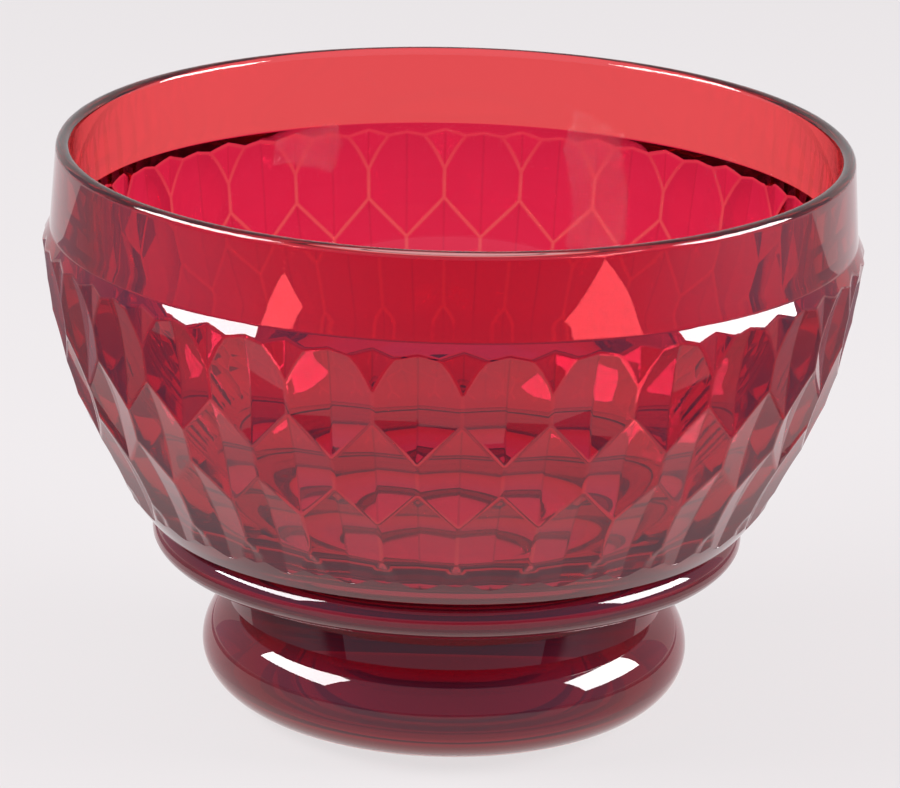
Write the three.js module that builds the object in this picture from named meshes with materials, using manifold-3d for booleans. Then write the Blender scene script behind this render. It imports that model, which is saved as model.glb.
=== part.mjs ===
// A footed dessert bowl in pressed glass with a ruby coat.
// The bowl has a plain rim band over a wall of pressed honeycomb cells, and a thick base with a
// turned collar. It is joined hot to a heavy round foot. Millimetres, +Z up, the origin on the
// table under the bowl's axis, and the middle of one tall cell towards -Y.

import * as THREE from "three";
import { mergeVertices } from "three/addons/utils/BufferGeometryUtils.js";
import Module from "manifold-3d";

// Rim and plain band
const bowlHeight = 82; // table to the top of the rim
const rimRadius = 56.1; // outside, just under the rounded lip
const lipThickness = 2.1;
const bandHeight = 12; // from the rim down to the ledge
const bandFlare = 0.8; // how much wider the band is at the ledge than at the rim
const ledgeThickness = 3.4; // glass at the lower end of the band
const ledgeStep = 0.75; // from the band out to the bottom of the cells' creases
const bevelHeight = 2.35; // bevel that closes the cells at the ledge

// Wall of pressed cells
const columns = 30; // cells in each row, with every other row half a cell round
const fullRows = 3; // rows of tall cells above the low row
const creaseTilt = 8; // degrees that each half of a cell leans out from its middle crease
const cellDish = 0.7; // how far a crease bows inwards between its two tips
const sideEdge = 4.3; // upright edge between neighbours in a row
const archDrop = 1.5; // from the ledge down to the upper tips of the first tall row
const spandrelEdge = 4.9; // upright edge under the small cells between those arches
const spandrelLean = 0.2; // how far the small cells' creases lean out on their way up
const lowRowHeight = 3.8;
const lowRowDish = 0.35;
const plainHeight = 3.6; // plain border under the low row

// Border, base and collar
const borderRadius = 43.2; // lower edge of the plain border
const borderLip = 0.5; // how far that edge hangs over the collar
const collarInset = 2.8; // from the border's edge in to the collar
const collarHeight = 6.9;
const collarRadius = 34.6; // lower edge of the collar
const collarBulge = 2.2; // how far the collar's side bows out
const collarUndercut = 3.4; // from the collar's lower edge down to the seam

// Inside
const baseThickness = 11.5; // glass between the floor and the seam
const floorFillet = 16; // between the floor and the side
const lowWall = 5.4; // from the border's edge in to the line of the inner side

// Foot
const footRadius = 34.9; // at its widest
const footWidestHeight = 7.9;
const footCrownWidth = 8.2; // from the widest line in to the top of its round
const footCrownHeight = 7.55; // from the widest line up to that top
const neckInset = 4.4; // from the widest line in to the neck
const neckHeight = 3.4; // straight neck from the round up to the seam
const footRollWidth = 10.7; // from the widest line in to the resting ring
const restRingWidth = 3.4; // flat ring that stands on the table
const hollowDepth = 3.2; // shallow hollow under the foot
const hollowFlatRadius = 9;

// Fineness of the surfaces, and how far the cutters run on past the cells' edges
const turnSteps = 3 * columns;
const arcSteps = 3;
const creaseSteps = 7;
const creaseOverrun = 0.22; // share of the crease
const cutterMargin = 2;
const cutterDepth = 17;

const degrees = Math.PI / 180;
const halfPitch = Math.PI / columns;
const neckRadius = footRadius - neckInset;
const crownAngle = Math.acos(1 - neckInset / footCrownWidth);
const crownEndHeight = footWidestHeight + footCrownHeight * Math.sin(crownAngle);
const seamHeight = crownEndHeight + neckHeight;
const collarEdgeHeight = seamHeight + collarUndercut;
const borderHeight = collarEdgeHeight + collarHeight + borderLip;
const ledgeHeight = bowlHeight - bandHeight;
const bandFootRadius = rimRadius + bandFlare;
const cellShoulder = bandFootRadius + ledgeStep;

const wasm = await Module();
wasm.setup();

// A side of the bowl is an arc with its centre at the height of the ledge, upright at the ledge and
// running down to a given radius at the border's edge.
function sideArc(shoulder, edgeRadius) {
  const inward = shoulder - edgeRadius;
  const down = ledgeHeight - borderHeight;
  const radius = (inward ** 2 + down ** 2) / (2 * inward);
  return { radius, centre: shoulder - radius };
}

function arcRadius(arc, height) {
  return arc.centre + Math.sqrt(arc.radius ** 2 - (ledgeHeight - height) ** 2);
}

// How much farther out the ridge between two creases is than the creases, for a given angle
// between the crease and the ridge.
function ridgeFactor(angle) {
  return 1 / (Math.cos(angle) * (1 - Math.tan(angle) * Math.tan(creaseTilt * degrees)));
}

// The tips of the cells lie on one arc. The glass that the cells are pressed into has a slightly
// wider one: at the ledge the arches and the small cells share the circle, so its ridges are a
// quarter of a pitch from the creases.
const cellArc = sideArc(cellShoulder, borderRadius);
const blankArc = sideArc(cellShoulder * ridgeFactor(halfPitch / 2), borderRadius);
const innerArc = sideArc(bandFootRadius - ledgeThickness, borderRadius - lowWall);

function tip(height) {
  return new THREE.Vector2(arcRadius(cellArc, height), height);
}

// Each row of cells has a crease with two tips and a dish, and is staggered by half a cell or not.
// The first row is the small cells between the arches, with straight creases.
function cellRows() {
  const rowPitch = (ledgeHeight - borderHeight) / (fullRows + 1);
  const cellHeight = 2 * rowPitch - sideEdge;
  const firstTop = ledgeHeight - archDrop;
  const spandrel = tip(firstTop - rowPitch + spandrelEdge);
  const rows = [
    {
      top: new THREE.Vector2(spandrel.x + spandrelLean, ledgeHeight),
      bottom: spandrel,
      dish: 0,
      staggered: true,
    },
  ];
  for (let i = 0; i < fullRows; i += 1) {
    const top = firstTop - i * rowPitch;
    rows.push({ top: tip(top), bottom: tip(top - cellHeight), dish: cellDish, staggered: i % 2 === 1 });
  }
  const low = borderHeight + plainHeight;
  const lowStaggered = fullRows % 2 === 1;
  rows.push({
    top: tip(low + lowRowHeight), bottom: tip(low), dish: lowRowDish, staggered: lowStaggered,
  });
  return rows;
}

// The crease of a cell as a parabola in the plane of the axis, run on past both tips until it has
// left the glass.
function creasePoints({ top, bottom, dish }) {
  const points = [];
  for (let i = 0; i <= creaseSteps; i += 1) {
    const t = ((1 + 2 * creaseOverrun) * i) / creaseSteps - creaseOverrun;
    const point = bottom.clone().lerp(top, t);
    point.x -= 4 * dish * t * (1 - t);
    points.push(point);
  }
  return points;
}

// A turned solid from a profile of radius and height that starts and ends on the axis, with the
// glass on its right. A lathe wants the glass on the left, so the points go in backwards.
function turned(profile) {
  const points = profile.getPoints(arcSteps).reverse();
  return new THREE.LatheGeometry(points, turnSteps).rotateX(Math.PI / 2);
}

function solid(geometry) {
  const bare = geometry.clone();
  bare.deleteAttribute("normal");
  bare.deleteAttribute("uv");
  const merged = mergeVertices(bare, 1e-4);
  const mesh = new wasm.Mesh({
    numProp: 3,
    vertProperties: new Float32Array(merged.attributes.position.array),
    triVerts: new Uint32Array(merged.index.array),
  });
  return new wasm.Manifold(mesh);
}

function geometryOf(manifold) {
  const mesh = manifold.getMesh();
  const geometry = new THREE.BufferGeometry();
  geometry.setAttribute("position", new THREE.BufferAttribute(mesh.vertProperties, 3));
  geometry.setIndex(new THREE.BufferAttribute(mesh.triVerts, 1));
  geometry.computeVertexNormals();
  return geometry;
}

// What one cell takes out of the glass, in two halves: the crease's outline, closed well outside
// the bowl, drawn out sideways both ways while it leans outwards, so that the halves meet in the
// crease like the sides of an open book. The crease is then stood up at -Y.
function cellCutter(cell) {
  const outside = cellShoulder + cutterDepth;
  const reach = cellShoulder * Math.tan(halfPitch) + cutterMargin;
  const crease = creasePoints(cell);
  const outline = new THREE.Shape([
    new THREE.Vector2(outside, crease[0].y),
    new THREE.Vector2(outside, crease[creaseSteps].y),
    ...crease.slice().reverse(),
  ]);
  return [1, -1].map((side) => {
    const half = new THREE.ExtrudeGeometry(outline, { depth: reach, bevelEnabled: false });
    if (side < 0) half.translate(0, 0, -reach);
    const lean = side * Math.tan(creaseTilt * degrees);
    return half
      .applyMatrix4(new THREE.Matrix4().makeShear(0, 0, 0, 0, lean, 0))
      .rotateX(Math.PI / 2)
      .rotateZ(-Math.PI / 2);
  });
}

function rowCutter(cell) {
  const halves = cellCutter(cell);
  const start = cell.staggered ? halfPitch : 0;
  const cuts = [];
  for (let column = 0; column < columns; column += 1) {
    for (const half of halves) cuts.push(solid(half.clone().rotateZ(start + 2 * halfPitch * column)));
  }
  return cuts.reduce((all, cut) => all.add(cut));
}

// The bowl's profile runs from the middle of the floor up the inside, over the lip and down the
// outside to the seam.
function bowlProfile() {
  const profile = new THREE.Path();
  floorAndSide(profile);
  const lip = lipThickness / 2;
  profile.lineTo(rimRadius - lipThickness, bowlHeight - lip);
  profile.absarc(rimRadius - lip, bowlHeight - lip, lip, Math.PI, 0, true);
  profile.lineTo(bandFootRadius, ledgeHeight);

  const bevelFoot = ledgeHeight - bevelHeight;
  const startAngle = -Math.asin(bevelHeight / blankArc.radius);
  const endAngle = -Math.asin((ledgeHeight - borderHeight) / blankArc.radius);
  profile.lineTo(arcRadius(blankArc, bevelFoot), bevelFoot);
  profile.absarc(blankArc.centre, ledgeHeight, blankArc.radius, startAngle, endAngle, true);
  collar(profile);
  profile.lineTo(neckRadius, seamHeight);
  profile.lineTo(0, seamHeight);
  return profile;
}

// A flat floor, a wide fillet and the inner side up to the ledge's height.
function floorAndSide(profile) {
  const floorHeight = seamHeight + baseThickness;
  const filletHeight = floorHeight + floorFillet;
  const rise = ledgeHeight - filletHeight;
  const filletCentre = innerArc.centre + Math.sqrt((innerArc.radius - floorFillet) ** 2 - rise ** 2);
  const meeting = -Math.atan2(rise, filletCentre - innerArc.centre);
  profile.moveTo(0, floorHeight);
  profile.lineTo(filletCentre, floorHeight);
  profile.absarc(filletCentre, filletHeight, floorFillet, -Math.PI / 2, meeting, false);
  profile.absarc(innerArc.centre, ledgeHeight, innerArc.radius, meeting, 0, false);
}

// The collar under the border: a small overhang, then a side that bows out on its way down.
function collar(profile) {
  const top = new THREE.Vector2(borderRadius - collarInset, collarEdgeHeight + collarHeight);
  const edge = new THREE.Vector2(collarRadius, collarEdgeHeight);
  const outwards = new THREE.Vector2(top.y - edge.y, edge.x - top.x).normalize();
  const pull = top.clone().lerp(edge, 0.5).addScaledVector(outwards, 2 * collarBulge);
  profile.lineTo(top.x, top.y);
  profile.quadraticCurveTo(pull.x, pull.y, edge.x, edge.y);
}

// The foot's profile runs from the middle of the seam out over the round side to the resting ring,
// and back through the hollow underneath.
function footProfile() {
  const profile = new THREE.Path();
  const crownCentre = footRadius - footCrownWidth;
  const rollCentre = footRadius - footRollWidth;
  const hollowRadius = rollCentre - restRingWidth;
  profile.moveTo(0, seamHeight);
  profile.lineTo(neckRadius, seamHeight);
  profile.absellipse(
    crownCentre, footWidestHeight, footCrownWidth, footCrownHeight, crownAngle, 0, true, 0);
  profile.absellipse(
    rollCentre, footWidestHeight, footRollWidth, footWidestHeight, 0, -Math.PI / 2, true, 0);
  profile.lineTo(hollowRadius, 0);
  profile.quadraticCurveTo(hollowRadius - hollowDepth, hollowDepth, hollowFlatRadius, hollowDepth);
  profile.lineTo(0, hollowDepth);
  return profile;
}

function glass(colour) {
  return new THREE.MeshStandardMaterial({ color: colour, roughness: 0.03, metalness: 0 });
}

function named(name, geometry, material) {
  const mesh = new THREE.Mesh(geometry, material);
  mesh.name = name;
  return mesh;
}

const blank = solid(turned(bowlProfile()));
const pressed = cellRows().reduce((glassLeft, row) => glassLeft.subtract(rowCutter(row)), blank);

const assembly = new THREE.Group();
assembly.add(
  named("bowl", geometryOf(pressed), glass(0xb01c2e)),
  named("foot", turned(footProfile()), glass(0x7a1624)),
);

export default assembly;
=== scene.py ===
import math

import bmesh
import bpy
from bpy.props import FloatProperty, IntProperty, PointerProperty, StringProperty
from mathutils import Matrix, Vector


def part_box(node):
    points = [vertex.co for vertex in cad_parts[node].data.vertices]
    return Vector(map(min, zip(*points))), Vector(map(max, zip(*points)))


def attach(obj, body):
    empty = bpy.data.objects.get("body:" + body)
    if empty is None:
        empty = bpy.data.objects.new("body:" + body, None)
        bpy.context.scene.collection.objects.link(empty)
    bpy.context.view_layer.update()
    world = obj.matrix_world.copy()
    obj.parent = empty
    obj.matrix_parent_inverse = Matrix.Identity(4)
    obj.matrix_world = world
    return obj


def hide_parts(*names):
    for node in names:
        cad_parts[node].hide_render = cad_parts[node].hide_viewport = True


bl_info = {
    "name": "Pressed ruby bowl",
    "version": (1, 0, 0),
    "blender": (4, 5, 0),
    "location": "View3D > Sidebar > Pressed bowl",
    "description": "Builds a footed bowl in pressed ruby glass and the studio that it stands in",
    "category": "Add Mesh",
}

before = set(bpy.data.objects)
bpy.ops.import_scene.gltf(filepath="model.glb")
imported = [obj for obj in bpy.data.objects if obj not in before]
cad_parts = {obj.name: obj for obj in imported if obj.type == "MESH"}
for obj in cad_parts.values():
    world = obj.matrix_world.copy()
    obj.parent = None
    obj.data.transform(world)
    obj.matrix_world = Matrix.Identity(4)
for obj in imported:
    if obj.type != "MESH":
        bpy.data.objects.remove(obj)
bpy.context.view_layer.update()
bowl_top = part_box("bowl")[1].z
foot_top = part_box("foot")[1].z

MM = 0.001

# Marks on faces while the glass is shaped
PLAIN, RIDGE, CREASE = 0, 1, 2

# Amounts of colour coat, and those over the lip and along the ledge's edge, kept thin there to
# paint highlights, in a crease and where the foot turns under
BARE, PALE, FULL, HEAVY = 0, 1 / 3, 2 / 3, 1
LIP_HIGHLIGHT_COAT, EDGE_HIGHLIGHT_COAT, CREASE_COAT, UNDER_COAT = 0.4 * PALE, 0.8 * PALE, FULL + 0.1, 0.5 * PALE


def length(name, description, default):
    return FloatProperty(
        name=name, description=description, default=default, min=0, unit="LENGTH", precision=5
    )


def angle(name, description, degrees):
    return FloatProperty(
        name=name, description=description, default=math.radians(degrees), subtype="ANGLE"
    )


def hex_colour(name, description, default):
    return StringProperty(name=name, description=description, default=default, maxlen=7)


class BowlSizes(bpy.types.PropertyGroup):
    """Sizes of the glass, in metres."""

    # Rim, plain band and ledge
    height: length("Height", "Table to the top of the rim", bowl_top)
    rim_radius: length("Rim radius", "Outside, just under the rounded lip", 56.1 * MM)
    lip_thickness: length("Lip thickness", "Glass at the rounded lip", 2.1 * MM)
    band_height: length("Band height", "Rim down to the ledge", 12 * MM)
    band_flare: length("Band flare", "How much wider the band is at the ledge", 0.8 * MM)
    ledge_thickness: length("Ledge thickness", "Glass at the foot of the band", 3.4 * MM)
    ledge_step: length("Ledge step", "Band out to the cells' creases", 0.75 * MM)
    bevel_height: length("Ledge bevel", "Bevel that closes the cells at the ledge", 2.35 * MM)

    # Pressed cells
    columns: IntProperty(name="Columns", description="Cells in each row", default=30, min=12)
    full_rows: IntProperty(name="Tall rows", description="Rows of tall cells", default=3, min=1)
    crease_tilt: angle("Crease tilt", "How far each half of a cell leans out", 8)
    cell_dish: length("Dish", "How far a crease bows in between its tips", 0.7 * MM)
    side_edge: length("Side edge", "Upright edge between neighbours in a row", 4.3 * MM)
    arch_drop: length("Arch drop", "Ledge down to the upper tips", 1.5 * MM)
    spandrel_edge: length("Spandrel edge", "Upright edge under the small cells", 4.9 * MM)
    spandrel_lean: length("Spandrel lean", "How far the small cells lean out", 0.2 * MM)
    low_row_height: length("Low row", "Height of the low row of cells", 3.8 * MM)
    low_row_dish: length("Low row dish", "Dish of the low row", 0.35 * MM)
    plain_height: length("Plain border", "Plain border under the low row", 3.6 * MM)
    ridge_softness: length("Ridge softness", "Half width of the rounded ridges", 0.4 * MM)
    crease_softness: length("Crease softness", "Half width of the rounded creases", 0.2 * MM)

    # Border, collar, base and inside
    border_radius: length("Border radius", "Lower edge of the plain border", 43.2 * MM)
    border_lip: length("Border lip", "How far that edge hangs over the collar", 0.5 * MM)
    collar_inset: length("Collar inset", "Border edge in to the collar", 2.8 * MM)
    collar_height: length("Collar height", "Height of the collar's side", 6.9 * MM)
    collar_radius: length("Collar radius", "Lower edge of the collar", 34.6 * MM)
    collar_shoulder: length("Collar shoulder", "Border edge in to the widest line", 1 * MM)
    collar_undercut: length("Collar undercut", "Collar edge down to the seam", 3.4 * MM)
    base_thickness: length("Base thickness", "Floor down to the seam", 11.5 * MM)
    floor_fillet: length("Floor fillet", "Round between the floor and the side", 16 * MM)
    low_wall: length("Low wall", "Border edge in to the inner side", 5.4 * MM)

    # Foot
    seam_height: length("Seam height", "Table to the seam of bowl and foot", foot_top)
    foot_radius: length("Foot radius", "Foot at its widest", 34.9 * MM)
    foot_widest: length("Widest line", "Table to the foot's widest line", 7.9 * MM)
    crown_width: length("Crown width", "Widest line in to the top of the round", 8.2 * MM)
    crown_height: length("Crown height", "Widest line up to that top", 8.1 * MM)
    crown_end: angle("Crown end", "How far up the round the neck begins", 57)
    neck_inset: length("Neck inset", "Widest line in to the neck at the seam", 4.4 * MM)
    roll_width: length("Roll width", "Widest line in to the resting ring", 10.7 * MM)
    ring_width: length("Resting ring", "Flat ring that stands on the table", 3.4 * MM)
    hollow_depth: length("Hollow depth", "Hollow under the foot", 3.2 * MM)
    hollow_flat: length("Hollow flat", "Radius of the hollow's flat middle", 9 * MM)


class BowlLook(bpy.types.PropertyGroup):
    """Glass, colour coat and studio."""

    ior: FloatProperty(name="Glass IOR", description="Soda-lime glass", default=1.52, min=1, max=2)
    # Thinner still, this pale coat paints highlights on the lip, the ledge's edge and the ridges
    pale_coat: hex_colour("Pale coat", "Light through the coat on the band and edges", "#F95A5D")
    full_coat: hex_colour("Full coat", "Light through the coat on the cells", "#ED284D")
    heavy_coat: hex_colour("Heavy coat", "Light through the coat on the foot", "#C02439")
    haze: hex_colour("Haze", "Light that the coat's pigment scatters where it is thin", "#5A143A")
    deep_haze: hex_colour("Deep haze", "The same where it is heavy or seen at a slant", "#5A161E")
    haze_share: FloatProperty(
        name="Haze share", description="Share of light that the coat scatters", default=0.3, max=1
    )
    heavy_haze: FloatProperty(
        name="Heavy haze share", description="The same for the heavy coat", default=0.45, max=1
    )
    edge_haze: FloatProperty(
        name="Edge haze", description="More of it at a grazing look", default=0.7, max=1
    )
    body: hex_colour("Body", "Light through 1 mm of the glass itself", "#FEFDFD")
    table: hex_colour("Table", "Pale table", "#E6E2E3")
    sky: hex_colour("Backdrop", "Pale backdrop behind the table", "#E4E2E3")
    # Colour of a glowing disc under the foot: painted light for what the bowl gathers onto the
    # table
    patch: hex_colour("Gathered light", "Patch of light on the table under the foot", "#FFF6F6")
    card: hex_colour("Card", "Grey cards beside and in front of the bowl", "#6B696E")
    room: hex_colour("Room", "Dim room over the table, as the glass mirrors it", "#ADAEBF")
    lamp_power: FloatProperty(
        name="Lamp power", description="Each softbox", default=9, min=0, unit="POWER"
    )


def linear(colour):
    """A hex sRGB colour as linear light."""
    parts = [int(colour[i : i + 2], 16) / 255 for i in (1, 3, 5)]
    return [c / 12.92 if c <= 0.04045 else ((c + 0.055) / 1.055) ** 2.4 for c in parts]


def add_node(tree, kind, settings=None, links=None):
    """Add a node, set its attributes and inputs, and link inputs to outputs of other nodes."""
    node = tree.nodes.new(kind)
    for key, value in (settings or {}).items():
        if isinstance(key, int) or key in node.inputs:
            node.inputs[key].default_value = value
        else:
            setattr(node, key, value)
    for key, output in (links or {}).items():
        tree.links.new(output, node.inputs[key])
    return node


def new_material(name):
    material = bpy.data.materials.new(name)
    material.use_nodes = True
    material.node_tree.nodes.clear()
    return material, material.node_tree


# ---------------------------------------------------------------- shape of the glass

# Steps along the curves of the profile, and round the bowl
FLOOR_STEPS, INNER_STEPS, BAND_STEPS, LIP_STEPS, WALL_STEPS = 12, 18, 6, 16, 24
SHOULDER_STEPS, COLLAR_STEPS, CROWN_STEPS, ROLL_STEPS, HOLLOW_STEPS = 8, 12, 12, 14, 8
TURN_STEPS = 360

# The collar's round shoulder: its width, and the share of the collar's height that is below it
SHOULDER_WIDTH = 3.2 * MM
SHOULDER_START = 0.55

# How far past its tips a row of cells is cut, as a share of its height
OVERRUN = 0.22

# Where a crossing of two rows is looked for round a tip, and in how many halvings
CROSSING_REACH, HALVINGS = 2 * MM, 50

# Height of the steps down the cells, the least of them as a share of it, and how far under and
# over the ledge there are none, because the bevel cuts there
LEVEL_STEP = 1 * MM
LEAST_STEP = 0.3
CLEAR_UNDER, CLEAR_OVER = 3.4 * MM, 1 * MM

# Radius, bottom and top of the room that the cutting solids fill
CUT_RADIUS, CUT_BOTTOM, CUT_TOP = 80 * MM, -10 * MM, 95 * MM

# The bevel starts this far inside the foot of the band, and its cone is this many bevels long
BEVEL_INSET = 0.04 * MM
BEVEL_LENGTHS = 4

# Vertices this near are one: where a spin closes, between cells, and on the whole glass
TOUCHING, CELL_SLIVER, GLASS_SLIVER = 1e-7, 0.25 * MM, 0.01 * MM

# Edges that fold more than this, up to this far over the ledge and outside the cells, are rounded
LEAST_FOLD = math.radians(11)
FOLD_OVER, FOLD_OUTSIDE = 1 * MM, 2.5 * MM

# Cells are flat to within the first angle, and shading breaks at the second
FLAT, SHARP = math.radians(0.05), math.radians(12)


class Arc:
    """A side of the bowl: upright at the ledge, and running down to a radius at the border."""

    def __init__(self, sizes, top_radius, edge_radius):
        self.level = ledge_level(sizes)
        self.low = border_level(sizes)
        inward, down = top_radius - edge_radius, self.level - self.low
        self.radius = (inward**2 + down**2) / (2 * inward)
        self.centre = top_radius - self.radius

    def at(self, z):
        return self.centre + math.sqrt(self.radius**2 - (self.level - z) ** 2)


def border_level(sizes):
    """The lower edge of the plain border, over the collar."""
    return sizes.seam_height + sizes.collar_undercut + sizes.collar_height + sizes.border_lip


def ledge_level(sizes):
    return sizes.height - sizes.band_height


def half_pitch(sizes):
    return math.pi / sizes.columns


def ridge_factor(sizes, turn):
    """How much farther out a ridge is than its creases, when they are that angle apart."""
    return math.cos(sizes.crease_tilt) / math.cos(turn + sizes.crease_tilt)


def shoulder(sizes):
    return sizes.rim_radius + sizes.band_flare + sizes.ledge_step


def cell_arc(sizes):
    """The side that the tips of the cells lie on."""
    return Arc(sizes, shoulder(sizes), sizes.border_radius)


def blank_arc(sizes):
    """The side before pressing, as wide as the ridges half way between two creases."""
    wide = shoulder(sizes) * ridge_factor(sizes, half_pitch(sizes) / 2)
    return Arc(sizes, wide, sizes.border_radius)


def round_part(centre, across, up, start, end, steps):
    """Points of an ellipse about a centre, from one angle to another."""
    turns = [start + (end - start) * i / steps for i in range(steps + 1)]
    return [(centre[0] + across * math.cos(t), centre[1] + up * math.sin(t)) for t in turns]


def curve_part(start, pull, end, steps):
    """Points of a quadratic curve from start to end, drawn towards pull."""
    points = []
    for i in range(steps + 1):
        t = i / steps
        a, b, c = (1 - t) ** 2, 2 * t * (1 - t), t**2
        points.append(tuple(a * p + b * q + c * r for p, q, r in zip(start, pull, end)))
    return points


def inner_profile(sizes):
    """Middle of the floor, out and up the inside to the ledge's level."""
    floor = sizes.seam_height + sizes.base_thickness
    inner = sizes.rim_radius + sizes.band_flare - sizes.ledge_thickness
    side = Arc(sizes, inner, sizes.border_radius - sizes.low_wall)
    round_level = floor + sizes.floor_fillet
    rise = side.level - round_level
    centre = side.centre + math.sqrt((side.radius - sizes.floor_fillet) ** 2 - rise**2)
    meeting = -math.atan2(rise, centre - side.centre)
    fillet = sizes.floor_fillet
    points = [(0, floor), (centre / 2, floor)]
    points += round_part(
        (centre, round_level), fillet, fillet, -math.pi / 2, meeting, FLOOR_STEPS
    )
    points += round_part(
        (side.centre, side.level), side.radius, side.radius, meeting, 0, INNER_STEPS
    )[1:]
    return points


def rim_profile(sizes):
    """Over the lip and down the band to the ledge."""
    lip = sizes.lip_thickness / 2
    centre = (sizes.rim_radius - lip, sizes.height - lip)
    inside = (sizes.rim_radius - sizes.lip_thickness, centre[1])
    low_inside = sizes.rim_radius + sizes.band_flare - sizes.ledge_thickness
    points = []
    for i in range(1, BAND_STEPS):
        t = i / BAND_STEPS
        z = ledge_level(sizes) + t * (inside[1] - ledge_level(sizes))
        points.append((low_inside + t * (inside[0] - low_inside), z))
    points += round_part(centre, lip, lip, math.pi, 0, LIP_STEPS)
    foot = sizes.rim_radius + sizes.band_flare
    for i in range(1, BAND_STEPS):
        t = i / BAND_STEPS
        z = centre[1] + t * (ledge_level(sizes) - centre[1])
        points.append((sizes.rim_radius + t * sizes.band_flare, z))
    return points + [(foot, ledge_level(sizes))]


def side_profile(sizes):
    """The wide arc that the cells are pressed into."""
    arc = blank_arc(sizes)
    end = -math.asin((arc.level - arc.low) / arc.radius)
    return round_part((arc.centre, arc.level), arc.radius, arc.radius, 0, end, WALL_STEPS)


def collar_profile(sizes):
    """A round shoulder under the border, and a rounder side down to the neck."""
    low = sizes.seam_height + sizes.collar_undercut
    widest = low + SHOULDER_START * sizes.collar_height
    reach = sizes.border_radius - sizes.collar_shoulder
    up = (1 - SHOULDER_START) * sizes.collar_height
    start = math.acos(1 - (reach - sizes.border_radius + sizes.collar_inset) / SHOULDER_WIDTH)
    points = round_part(
        (reach - SHOULDER_WIDTH, widest), SHOULDER_WIDTH, up, start, 0, SHOULDER_STEPS
    )
    across, down = reach - sizes.collar_radius, widest - low
    points += round_part(
        (sizes.collar_radius, widest), across, down, 0, -math.pi / 2, COLLAR_STEPS
    )[1:]
    return points + [(sizes.foot_radius - sizes.neck_inset, sizes.seam_height)]


def foot_profile(sizes):
    """The round foot, its resting ring and the hollow under it."""
    crown = (sizes.foot_radius - sizes.crown_width, sizes.foot_widest)
    roll = (sizes.foot_radius - sizes.roll_width, sizes.foot_widest)
    points = round_part(
        crown, sizes.crown_width, sizes.crown_height, sizes.crown_end, 0, CROWN_STEPS
    )
    points += round_part(
        roll, sizes.roll_width, sizes.foot_widest, 0, -math.pi / 2, ROLL_STEPS
    )[1:]
    hollow = roll[0] - sizes.ring_width
    points += curve_part(
        (hollow, 0),
        (hollow - sizes.hollow_depth, sizes.hollow_depth),
        (sizes.hollow_flat, sizes.hollow_depth),
        HOLLOW_STEPS,
    )
    return points + [(0, sizes.hollow_depth)]


def blank_profile(sizes):
    """Half of the whole glass, from the middle of the floor round to the middle of the hollow."""
    return (
        inner_profile(sizes)
        + rim_profile(sizes)
        + side_profile(sizes)
        + collar_profile(sizes)
        + foot_profile(sizes)
    )


class Row:
    """A row of cells: the line of its creases, as a parabola between two tips. A tip is a radius
    and a level."""

    def __init__(self, bottom, top, dish, staggered):
        self.bottom, self.top, self.dish, self.staggered = bottom, top, dish, staggered

    def crease(self, z):
        t = (z - self.bottom[1]) / (self.top[1] - self.bottom[1])
        straight = self.bottom[0] + t * (self.top[0] - self.bottom[0])
        return straight - 4 * self.dish * t * (1 - t)

    def span(self):
        beyond = OVERRUN * (self.top[1] - self.bottom[1])
        return self.bottom[1] - beyond, self.top[1] + beyond


def cell_rows(sizes):
    """The small cells between the arches, the tall rows, and the low row, from the ledge down."""
    arc = cell_arc(sizes)
    ledge, border = ledge_level(sizes), border_level(sizes)
    pitch = (ledge - border) / (sizes.full_rows + 1)
    tall = 2 * pitch - sizes.side_edge
    first = ledge - sizes.arch_drop

    def tip(z):
        return arc.at(z), z

    low = tip(first - pitch + sizes.spandrel_edge)
    rows = [Row(low, (low[0] + sizes.spandrel_lean, ledge), 0, True)]
    for i in range(sizes.full_rows):
        top = first - i * pitch
        rows.append(Row(tip(top - tall), tip(top), sizes.cell_dish, i % 2 == 1))
    border += sizes.plain_height
    staggered = sizes.full_rows % 2 == 1
    rows.append(Row(tip(border), tip(border + sizes.low_row_height), sizes.low_row_dish, staggered))
    return rows


def crossing(sizes, inner, outer, near):
    """The level near a tip at which a row's crease meets the other row's side edge."""
    factor = ridge_factor(sizes, half_pitch(sizes))

    def gap(z):
        return outer.crease(z) - inner.crease(z) * factor

    low, high = near - CROSSING_REACH, near + CROSSING_REACH
    if gap(low) * gap(high) > 0:
        return near
    for _ in range(HALVINGS):
        middle = (low + high) / 2
        if gap(low) * gap(middle) <= 0:
            high = middle
        else:
            low = middle
    return (low + high) / 2


def shared_levels(sizes, rows):
    """Levels that all rows share, the tips among them, so that the rows meet vertex to vertex."""
    tips = [rows[-1].span()[0], rows[0].span()[1]]
    for upper, lower in zip(rows, rows[1:]):
        tips.append(crossing(sizes, upper, lower, lower.top[1]))
        tips.append(crossing(sizes, lower, upper, upper.bottom[1]))
    marks = []
    for z in sorted(tips):
        if not marks or z - marks[-1] > LEAST_STEP * LEVEL_STEP:
            marks.append(z)
    levels = []
    for low, high in zip(marks, marks[1:]):
        count = max(1, math.floor((high - low) / LEVEL_STEP))
        levels += [low + (high - low) * i / count for i in range(count)]
    ledge = ledge_level(sizes)
    clear = (z for z in levels if not ledge - CLEAR_UNDER < z < ledge + CLEAR_OVER)
    return [*clear, marks[-1]]


def new_object(name, bm):
    mesh = bpy.data.meshes.new(name)
    bm.to_mesh(mesh)
    bm.free()
    obj = bpy.data.objects.new(name, mesh)
    bpy.context.scene.collection.objects.link(obj)
    return obj


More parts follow.
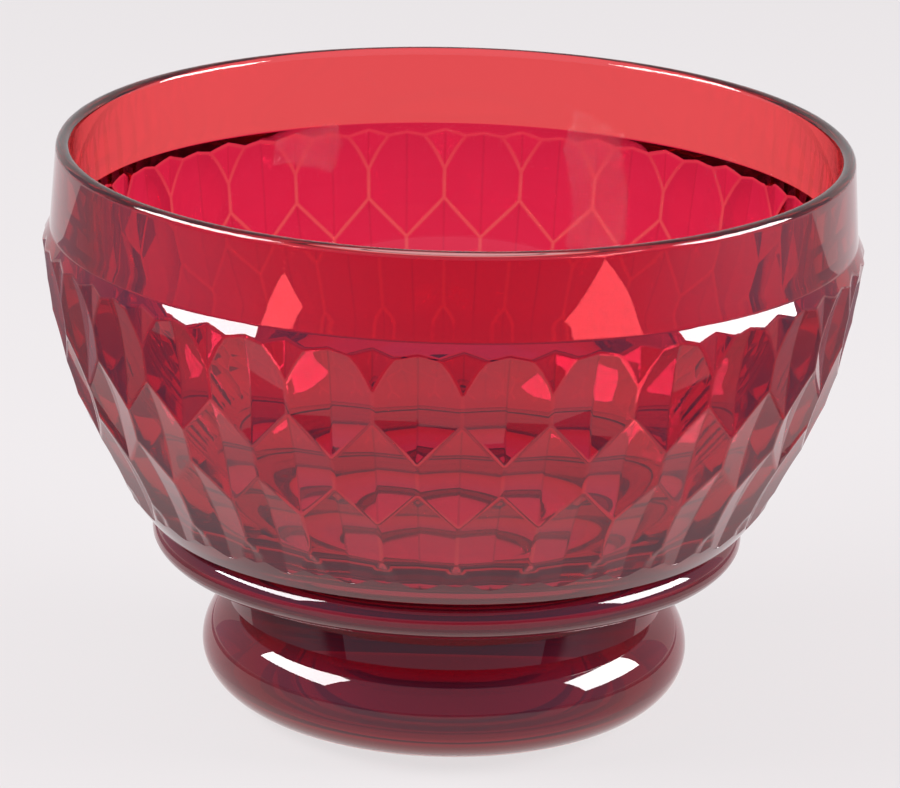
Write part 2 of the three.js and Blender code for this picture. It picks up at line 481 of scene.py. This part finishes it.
def turned(profile, steps):
    """A closed solid spun about the axis from a profile of radius and height."""
    bm = bmesh.new()
    verts = [bm.verts.new((r, 0, z)) for r, z in profile]
    edges = [bm.edges.new(pair) for pair in zip(verts, verts[1:])]
    bmesh.ops.spin(
        bm, geom=verts + edges, axis=(0, 0, 1), angle=2 * math.pi, steps=steps, use_merge=True
    )
    bmesh.ops.remove_doubles(bm, verts=bm.verts, dist=TOUCHING)
    bmesh.ops.recalc_face_normals(bm, faces=bm.faces)
    return bm


def row_star(sizes, row, levels):
    """Everything inside a row's creases and ridges, a star in plan, and all over and under it."""
    low, high = row.span()
    creases = [(row.crease(z), z) for z in levels if low - TOUCHING <= z <= high + TOUCHING]
    start, end = creases[0][1], creases[-1][1]
    profile = [(0, CUT_BOTTOM), (CUT_RADIUS, CUT_BOTTOM), (CUT_RADIUS, start)]
    profile += creases + [(CUT_RADIUS, end), (CUT_RADIUS, CUT_TOP), (0, CUT_TOP)]
    bm = turned(profile, 2 * sizes.columns)
    step = half_pitch(sizes)
    ridges = []
    for vert in bm.verts:
        on_axis = math.hypot(vert.co.x, vert.co.y) < MM
        column = round(math.atan2(vert.co.y, vert.co.x) / step)
        on_crease = (column % 2 == 0) == row.staggered
        if not on_axis and not on_crease:
            ridges.append(vert)
    factor = ridge_factor(sizes, step)
    bmesh.ops.scale(bm, vec=(factor, factor, 1), verts=ridges)
    return bm


def ledge_solid(sizes):
    """Everything under the ledge's bevel and inside the foot of the band."""
    level = ledge_level(sizes)
    start = sizes.rim_radius + sizes.band_flare - BEVEL_INSET
    end = blank_arc(sizes).at(level - sizes.bevel_height)
    low = level - BEVEL_LENGTHS * sizes.bevel_height
    outer = start + BEVEL_LENGTHS * (end - start)
    profile = [(0, CUT_BOTTOM), (CUT_RADIUS, CUT_BOTTOM), (CUT_RADIUS, low), (outer, low)]
    profile += [(start, level), (start, CUT_TOP), (0, CUT_TOP)]
    return turned(profile, TURN_STEPS)


def combined(base, others, operation):
    """Apply booleans to an object's mesh, and take the other objects away."""
    for other in others:
        modifier = base.modifiers.new("Cut", "BOOLEAN")
        modifier.operation = operation
        modifier.solver = "MANIFOLD"
        modifier.object = other
    bpy.context.view_layer.update()
    result = bmesh.new()
    result.from_object(base, bpy.context.evaluated_depsgraph_get())
    for obj in [base, *others]:
        mesh = obj.data
        bpy.data.objects.remove(obj)
        bpy.data.meshes.remove(mesh)
    return result


def folded_edges(bm, sizes, hollow):
    """The edges between cells that fold inwards or outwards and aren't rounded yet."""
    low, high = border_level(sizes), ledge_level(sizes) + FOLD_OVER
    wide = shoulder(sizes) + FOLD_OUTSIDE
    edges = []
    for edge in bm.edges:
        middle = (edge.verts[0].co + edge.verts[1].co) / 2
        fold = edge.calc_face_angle_signed(0)
        if (
            low < middle.z < high
            and math.hypot(middle.x, middle.y) < wide
            and abs(fold) > LEAST_FOLD
            and (fold < 0) == hollow
            and all(face.material_index == PLAIN for face in edge.link_faces)
        ):
            edges.append(edge)
    return edges


def soften(bm, sizes):
    """Round the ridges and creases between cells, as the fire polish leaves them."""
    for hollow, width, mark in (
        (False, sizes.ridge_softness, RIDGE),
        (True, sizes.crease_softness, CREASE),
    ):
        rounded = bmesh.ops.bevel(
            bm,
            geom=folded_edges(bm, sizes, hollow),
            offset=width,
            offset_type="OFFSET",
            segments=3,
            profile=0.5,
            affect="EDGES",
            clamp_overlap=False,
            material=-1,
        )
        for face in rounded["faces"]:
            face.material_index = mark


def pressed_bowl(sizes):
    """A turned blank, with the cells and the ledge pressed into its side."""
    rows = cell_rows(sizes)
    levels = shared_levels(sizes, rows)
    stars = [
        new_object(f"star_{i}", row_star(sizes, row, levels)) for i, row in enumerate(rows)
    ]
    stars.append(new_object("ledge", ledge_solid(sizes)))
    cells = combined(stars[0], stars[1:], "INTERSECT")
    bmesh.ops.remove_doubles(cells, verts=cells.verts, dist=CELL_SLIVER)
    bmesh.ops.dissolve_limit(cells, angle_limit=FLAT, verts=cells.verts, edges=cells.edges)
    soften(cells, sizes)
    blank = new_object("blank", turned(blank_profile(sizes), TURN_STEPS))
    return combined(new_object("cells", cells), [blank], "INTERSECT")


def inside_radius(sizes, z):
    """How far out the glass starts at a level above the floor."""
    lip = sizes.lip_thickness / 2
    profile = inner_profile(sizes)[2:]
    profile.append((sizes.rim_radius - sizes.lip_thickness, sizes.height - lip))
    profile.append((sizes.rim_radius - lip, sizes.height))
    for (r0, z0), (r1, z1) in zip(profile, profile[1:]):
        if z <= z1:
            return r0 + (r1 - r0) * max(0, (z - z0) / (z1 - z0))
    return profile[-1][0]


def blend(low, high, share):
    """From low to high by a share, which is held between 0 and 1."""
    return low + (high - low) * min(1, max(0, share))


# On the ridges the coat goes from the first amount to the second, from the first level under the
# ledge down to the second. Its thinness there paints highlights along the ridges.
RIDGE_HIGHLIGHT_COATS = blend(PALE, FULL, 0.7), blend(PALE, FULL, 0.2)
RIDGE_DROPS = 2 * MM, 10 * MM

# The edge of the ledge and the top of the lip are this high, and the coat starts at this level
EDGE_HEIGHT, LIP_HEIGHT, COAT_START = 0.05 * MM, 0.7 * MM, 1.5 * MM

# How far from the inside and from the underside a vertex still counts as on them
NEAR_INSIDE, NEAR_LEVEL = 0.3 * MM, 0.1 * MM


def coat_amount(sizes, r, z, mark):
    """None inside and underneath, pale on the band, thin over the lip, along the ledge's edge and
    on the ridges as painted highlights, full on the cells, heavier and so darker in the creases and
    on the way down to the foot, and pale again where the foot turns under."""
    floor = sizes.seam_height + sizes.base_thickness
    if z > floor - NEAR_LEVEL and r < inside_radius(sizes, z) + NEAR_INSIDE:
        return BARE
    ring_outside = sizes.foot_radius - sizes.roll_width
    if z < NEAR_LEVEL or (z < sizes.hollow_depth + NEAR_LEVEL and r < ring_outside):
        return BARE
    drop = ledge_level(sizes) - z
    # The ledge's edge and the lip take a thin coat, which paints highlights along them
    if abs(drop) < EDGE_HEIGHT:
        return EDGE_HIGHLIGHT_COAT
    if drop < 0:
        return PALE if z < sizes.height - LIP_HEIGHT else LIP_HIGHLIGHT_COAT
    # The ridges take a thinner coat, which paints highlights along them
    if mark == RIDGE:
        start, end = RIDGE_DROPS
        return blend(*RIDGE_HIGHLIGHT_COATS, (drop - start) / (end - start))
    if mark == CREASE:
        return CREASE_COAT
    if z < sizes.foot_widest:
        return blend(UNDER_COAT, HEAVY, (z - COAT_START) / (sizes.foot_widest - COAT_START))
    high = border_level(sizes) + sizes.plain_height + sizes.low_row_height
    return blend(FULL, HEAVY, (high - z) / (high - sizes.seam_height))


def lay_coat(bm, sizes):
    """Write the amount of coat to the vertices, and clear the faces' marks."""
    coat = bm.verts.layers.float.new("coat")
    for vert in bm.verts:
        marks = {face.material_index for face in vert.link_faces}
        mark = marks.pop() if len(marks) == 1 else PLAIN
        vert[coat] = coat_amount(sizes, math.hypot(vert.co.x, vert.co.y), vert.co.z, mark)
    for face in bm.faces:
        face.material_index = PLAIN


class MESH_OT_pressed_bowl(bpy.types.Operator):
    """Add the bowl and its foot as one piece of pressed glass with a ruby coat"""

    bl_idname = "mesh.pressed_bowl_add"
    bl_label = "Pressed ruby bowl"

    def execute(self, context):
        sizes, look = context.scene.bowl_sizes, context.scene.bowl_look
        bm = pressed_bowl(sizes)
        bmesh.ops.remove_doubles(bm, verts=bm.verts, dist=GLASS_SLIVER)
        bmesh.ops.recalc_face_normals(bm, faces=bm.faces)
        lay_coat(bm, sizes)
        for face in bm.faces:
            face.smooth = True
        glass = new_object("ruby_glass_bowl", bm)
        glass.data.set_sharp_from_angle(angle=SHARP)
        glass.data.materials.append(coated_glass(look))
        flat = glass.modifiers.new("Flat facets", "WEIGHTED_NORMAL")
        flat.keep_sharp = True
        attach(glass, "root")
        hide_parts("bowl", "foot")
        return {"FINISHED"}


# Haze needs at least this amount of coat, grows at a slant by this power, and has its deep tone
# from this share of haze on
LEAST_COAT, SLANT_POWER, DEEP_SHARE = 0.25, 1.5, 0.6


def coated_glass(look):
    """Clear soda-lime glass, pressed and fire-polished, sprayed with see-through ruby lacquer. The
    colour lies on the outside and not in the glass, so each cell has one even tone, with paler
    lines on the ridges, over the lip and along the ledge's edge, where the coat is kept thin as
    painted highlights. The front is seen through two coats, so it is deeper than the back. The
    lacquer's pigment scatters some light, more at a slant and where it is heavy, so the foot looks
    dusty plum and the sides a little grey. The gloss over all of it is that of polished glass."""
    material, tree = new_material("Pressed soda-lime glass, ruby lacquer")
    amount = add_node(tree, "ShaderNodeAttribute", {"attribute_name": "coat"})
    tint = add_node(tree, "ShaderNodeValToRGB", links={0: amount.outputs["Fac"]})
    stops = tint.color_ramp.elements
    stops[0].color = (1, 1, 1, 1)
    stops[1].color = (*linear(look.heavy_coat), 1)
    stops.new(PALE).color = (*linear(look.pale_coat), 1)
    stops.new(FULL).color = (*linear(look.full_coat), 1)

    # Principled tints what goes in by the root of its colour
    squared = add_node(
        tree,
        "ShaderNodeVectorMath",
        {"operation": "MULTIPLY"},
        {0: tint.outputs[0], 1: tint.outputs[0]},
    )
    going_in = add_node(
        tree,
        "ShaderNodeBsdfPrincipled",
        {"Roughness": 0.0, "IOR": look.ior, "Transmission Weight": 1.0},
        {"Base Color": squared.outputs[0]},
    )
    facing = add_node(tree, "ShaderNodeLayerWeight", {"Blend": 0.5})
    slanting = add_node(
        tree,
        "ShaderNodeMath",
        {"operation": "POWER", 1: SLANT_POWER},
        {0: facing.outputs["Facing"]},
    )
    thick = add_node(
        tree,
        "ShaderNodeMapRange",
        {"From Min": FULL, "To Min": look.haze_share, "To Max": look.heavy_haze},
        {"Value": amount.outputs["Fac"]},
    )
    whole = add_node(
        tree,
        "ShaderNodeMath",
        {"operation": "MULTIPLY_ADD", 1: look.edge_haze, "use_clamp": True},
        {0: slanting.outputs[0], 2: thick.outputs[0]},
    )
    deep = add_node(
        tree,
        "ShaderNodeMapRange",
        {"From Min": look.haze_share, "From Max": DEEP_SHARE},
        {"Value": whole.outputs[0]},
    )
    haze_tone = add_node(
        tree,
        "ShaderNodeMix",
        {"data_type": "RGBA", 6: (*linear(look.haze), 1), 7: (*linear(look.deep_haze), 1)},
        {0: deep.outputs[0]},
    )
    haze = add_node(
        tree,
        "ShaderNodeBsdfPrincipled",
        {"Roughness": 0.0, "IOR": look.ior},
        {"Base Color": haze_tone.outputs[2]},
    )
    coated = add_node(
        tree,
        "ShaderNodeMath",
        {"operation": "GREATER_THAN", 1: LEAST_COAT},
        {0: amount.outputs["Fac"]},
    )
    share = add_node(
        tree,
        "ShaderNodeMath",
        {"operation": "MULTIPLY"},
        {0: whole.outputs[0], 1: coated.outputs[0]},
    )
    outside = add_node(
        tree,
        "ShaderNodeMixShader",
        links={0: share.outputs[0], 1: going_in.outputs[0], 2: haze.outputs[0]},
    )

    # Light inside the glass passes the coat on its way out, and when it is mirrored back
    inside = add_node(
        tree,
        "ShaderNodeBsdfGlass",
        {"Roughness": 0.0, "IOR": look.ior},
        {"Color": tint.outputs[0]},
    )
    side = add_node(tree, "ShaderNodeNewGeometry")
    surface = add_node(
        tree,
        "ShaderNodeMixShader",
        links={0: side.outputs["Backfacing"], 1: outside.outputs[0], 2: inside.outputs[0]},
    )
    loss = [-math.log(c) / MM for c in linear(look.body)]
    density = max(loss)
    volume = add_node(
        tree,
        "ShaderNodeVolumeAbsorption",
        {"Color": (*(1 - c / density for c in loss), 1), "Density": density},
    )
    add_node(
        tree,
        "ShaderNodeOutputMaterial",
        links={"Surface": surface.outputs[0], "Volume": volume.outputs[0]},
    )
    return material


# ---------------------------------------------------------------- studio

# How far the table reaches each way, and the backdrop's half width, height and distance
TABLE_REACH, BACKDROP_REACH = 3, 1.2

# Levels of the sheets that lie on each other under the bowl
TABLE_LEVEL, PATCH_LEVEL, CARD_LEVEL = -0.2 * MM, -0.1 * MM, 0.5 * MM
# Radius of that glowing disc, which paints the light gathered under the foot
PATCH_RADIUS = 40 * MM

# Left, right, front and back edges of the cards on the table
CARDS = {
    "card_left": (-0.6, -0.11, -0.15, 0.2),
    "card_right": (0.11, 0.6, -0.15, 0.2),
    "card_front": (-TABLE_REACH, TABLE_REACH, -TABLE_REACH, -0.15),
}

# Name, degrees round from the front, degrees up, width and height
SOFTBOXES = (
    ("softbox_left", -76, 35, 0.52, 0.27),
    ("softbox_right", 92, 25, 0.46, 0.29),
)
LAMP_DISTANCE = 0.7
LAMP_AIM = 30 * MM

# The camera's sensor and lens in mm, its place before it is turned about the bowl, and its turn
# about the bowl, tilt down and roll in degrees
SENSOR_WIDTH, LENS = 36, 203.65
CAMERA_PLACE = (0, -0.69075, 0.26663)
CAMERA_TURN, CAMERA_TILT, CAMERA_ROLL = 4.29, 17.802, 1.421

# Light passes this many surfaces, and is mirrored this many times
PASSES, MIRRORINGS = 32, 16


class SCENE_OT_bowl_stage(bpy.types.Operator):
    """Add the table, the backdrop, the softboxes and the camera"""

    bl_idname = "scene.bowl_stage_add"
    bl_label = "Bowl studio"

    def execute(self, context):
        look = context.scene.bowl_look
        self.table(look)
        self.backdrop(look)
        self.gathered_light(look)
        for name, (left, right, front, back) in CARDS.items():
            self.card(look, name, left, right, front, back)
        self.room(context.scene, look)
        for name, turn, rise, wide, tall in SOFTBOXES:
            self.softbox(look, name, turn, rise, wide, tall)
        self.camera(context.scene)
        context.scene.view_settings.view_transform = "Standard"
        cycles = context.scene.cycles
        cycles.max_bounces = PASSES
        cycles.transmission_bounces = PASSES
        cycles.glossy_bounces = MIRRORINGS
        return {"FINISHED"}

    def sheet(self, name, left, right, front, back, level, material):
        """A flat sheet that lies on the table or is the table."""
        bm = bmesh.new()
        bmesh.ops.create_grid(bm, x_segments=1, y_segments=1, size=0.5)
        bmesh.ops.scale(bm, vec=(right - left, back - front, 1), verts=bm.verts)
        middle = ((left + right) / 2, (front + back) / 2, level)
        bmesh.ops.translate(bm, vec=middle, verts=bm.verts)
        sheet = new_object(name, bm)
        sheet.data.materials.append(material)
        return sheet

    def glowing(self, name, colour, lit_share, seen_lit_share):
        """Pale matt stock that keeps its tone with little light on it, so that the camera sees it
        as pale as the glass does. Its lit share takes the shadows."""
        material, tree = new_material(name)
        path = add_node(tree, "ShaderNodeLightPath")
        share = add_node(
            tree,
            "ShaderNodeMapRange",
            {"To Min": 1 - lit_share, "To Max": 1 - seen_lit_share},
            {"Value": path.outputs["Is Camera Ray"]},
        )
        tone = (*linear(colour), 1)
        lit = add_node(tree, "ShaderNodeBsdfDiffuse", {"Color": tone})
        glow = add_node(tree, "ShaderNodeEmission", {"Color": tone, "Strength": 1})
        mixed = add_node(
            tree,
            "ShaderNodeMixShader",
            links={0: share.outputs[0], 1: lit.outputs[0], 2: glow.outputs[0]},
        )
        add_node(tree, "ShaderNodeOutputMaterial", links={"Surface": mixed.outputs[0]})
        return material

    def table(self, look):
        """The pale table, much wider than the picture, so that the glass sees no edge."""
        laminate = self.glowing(
            "Matt white laminate", look.table, lit_share=0.15, seen_lit_share=0.1
        )
        reach = TABLE_REACH
        self.sheet("table", -reach, reach, -reach, reach, TABLE_LEVEL, laminate)

    def backdrop(self, look):
        """An upright pale board behind the bowl, for what the glass gathers from there."""
        paper = self.glowing("Pale backdrop paper", look.sky, lit_share=0.2, seen_lit_share=0.2)
        reach = BACKDROP_REACH
        board = self.sheet("backdrop", -reach, reach, 0, reach, 0, paper)
        upright = Matrix.Rotation(math.pi / 2, 4, "X")
        board.data.transform(Matrix.Translation((0, reach, 0)) @ upright)
        board.visible_camera = False
        board.visible_shadow = False

    def gathered_light(self, look):
        """A disc under the foot that glows and that only the glass sees: painted light for the
        bright patch where the bowl gathers the light onto the table.
        """
        bm = bmesh.new()
        bmesh.ops.create_circle(bm, cap_ends=True, segments=64, radius=PATCH_RADIUS)
        bmesh.ops.translate(bm, vec=(0, 0, PATCH_LEVEL), verts=bm.verts)
        patch = new_object("gathered_light", bm)
        # Pure emission, no lamp: the disc's glow is painted light
        lit = self.glowing("Painted caustic glow", look.patch, lit_share=0, seen_lit_share=0)
        patch.data.materials.append(lit)
        patch.visible_camera = False
        patch.visible_diffuse = False
        patch.visible_shadow = False

    def card(self, look, name, left, right, front, back):
        """Grey card that only the glass sees, which gives clear glass its dark sides."""
        material, tree = new_material("Grey card, matt")
        lit = add_node(tree, "ShaderNodeBsdfDiffuse", {"Color": (*linear(look.card), 1)})
        add_node(tree, "ShaderNodeOutputMaterial", links={"Surface": lit.outputs[0]})
        card = self.sheet(name, left, right, front, back, CARD_LEVEL, material)
        card.visible_camera = False
        card.visible_shadow = False

    def room(self, scene, look):
        """The room round the table: pale to the camera, and dimmer where the glass mirrors it."""
        world = bpy.data.worlds.new("Pale studio, dim overhead")
        world.use_nodes = True
        tree = world.node_tree
        tree.nodes.clear()
        path = add_node(tree, "ShaderNodeLightPath")
        pale = add_node(
            tree, "ShaderNodeBackground", {"Color": (*linear(look.sky), 1), "Strength": 1}
        )
        dim = add_node(
            tree, "ShaderNodeBackground", {"Color": (*linear(look.room), 1), "Strength": 1}
        )
        mixed = add_node(
            tree,
            "ShaderNodeMixShader",
            links={"Fac": path.outputs["Is Camera Ray"], 1: dim.outputs[0], 2: pale.outputs[0]},
        )
        add_node(tree, "ShaderNodeOutputWorld", links={"Surface": mixed.outputs[0]})
        scene.world = world

    def softbox(self, look, name, turn, rise, wide, tall):
        """A rectangular lamp aimed at the bowl, that far round from the front and that far up."""
        data = bpy.data.lights.new(name, "AREA")
        data.shape = "RECTANGLE"
        data.size, data.size_y = wide, tall
        data.energy = look.lamp_power
        lamp = bpy.data.objects.new(name, data)
        bpy.context.scene.collection.objects.link(lamp)
        lamp.visible_transmission = False
        lamp.matrix_world = (
            Matrix.Translation((0, 0, LAMP_AIM))
            @ Matrix.Rotation(math.radians(turn), 4, "Z")
            @ Matrix.Rotation(math.radians(90 - rise), 4, "X")
            @ Matrix.Translation((0, 0, LAMP_DISTANCE))
        )

    def camera(self, scene):
        """The camera that was fitted to the rim, the ledge, the foot and the cells."""
        data = bpy.data.cameras.new("camera")
        data.sensor_width = SENSOR_WIDTH
        data.sensor_fit = "HORIZONTAL"
        data.lens = LENS
        data.clip_start = 0.01
        camera = bpy.data.objects.new("camera", data)
        scene.collection.objects.link(camera)
        camera.matrix_world = (
            Matrix.Rotation(math.radians(CAMERA_TURN), 4, "Z")
            @ Matrix.Translation(CAMERA_PLACE)
            @ Matrix.Rotation(math.radians(90 - CAMERA_TILT), 4, "X")
            @ Matrix.Rotation(math.radians(CAMERA_ROLL), 4, "Z")
        )
        scene.camera = camera


class VIEW3D_PT_pressed_bowl(bpy.types.Panel):
    """Pressed bowl and its studio"""

    bl_label = "Pressed bowl"
    bl_space_type = "VIEW_3D"
    bl_region_type = "UI"
    bl_category = "Pressed bowl"

    def draw(self, context):
        layout = self.layout
        layout.operator(MESH_OT_pressed_bowl.bl_idname)
        layout.operator(SCENE_OT_bowl_stage.bl_idname)
        for group in (context.scene.bowl_sizes, context.scene.bowl_look):
            box = layout.box()
            for name in group.__annotations__:
                box.prop(group, name)


CLASSES = (
    BowlSizes,
    BowlLook,
    MESH_OT_pressed_bowl,
    SCENE_OT_bowl_stage,
    VIEW3D_PT_pressed_bowl,
)


def register():
    for cls in CLASSES:
        bpy.utils.register_class(cls)
    bpy.types.Scene.bowl_sizes = PointerProperty(type=BowlSizes)
    bpy.types.Scene.bowl_look = PointerProperty(type=BowlLook)


def unregister():
    del bpy.types.Scene.bowl_look
    del bpy.types.Scene.bowl_sizes
    for cls in reversed(CLASSES):
        bpy.utils.unregister_class(cls)


def main():
    register()
    bpy.ops.mesh.pressed_bowl_add()
    bpy.ops.scene.bowl_stage_add()


if __name__ == "__main__":
    main()
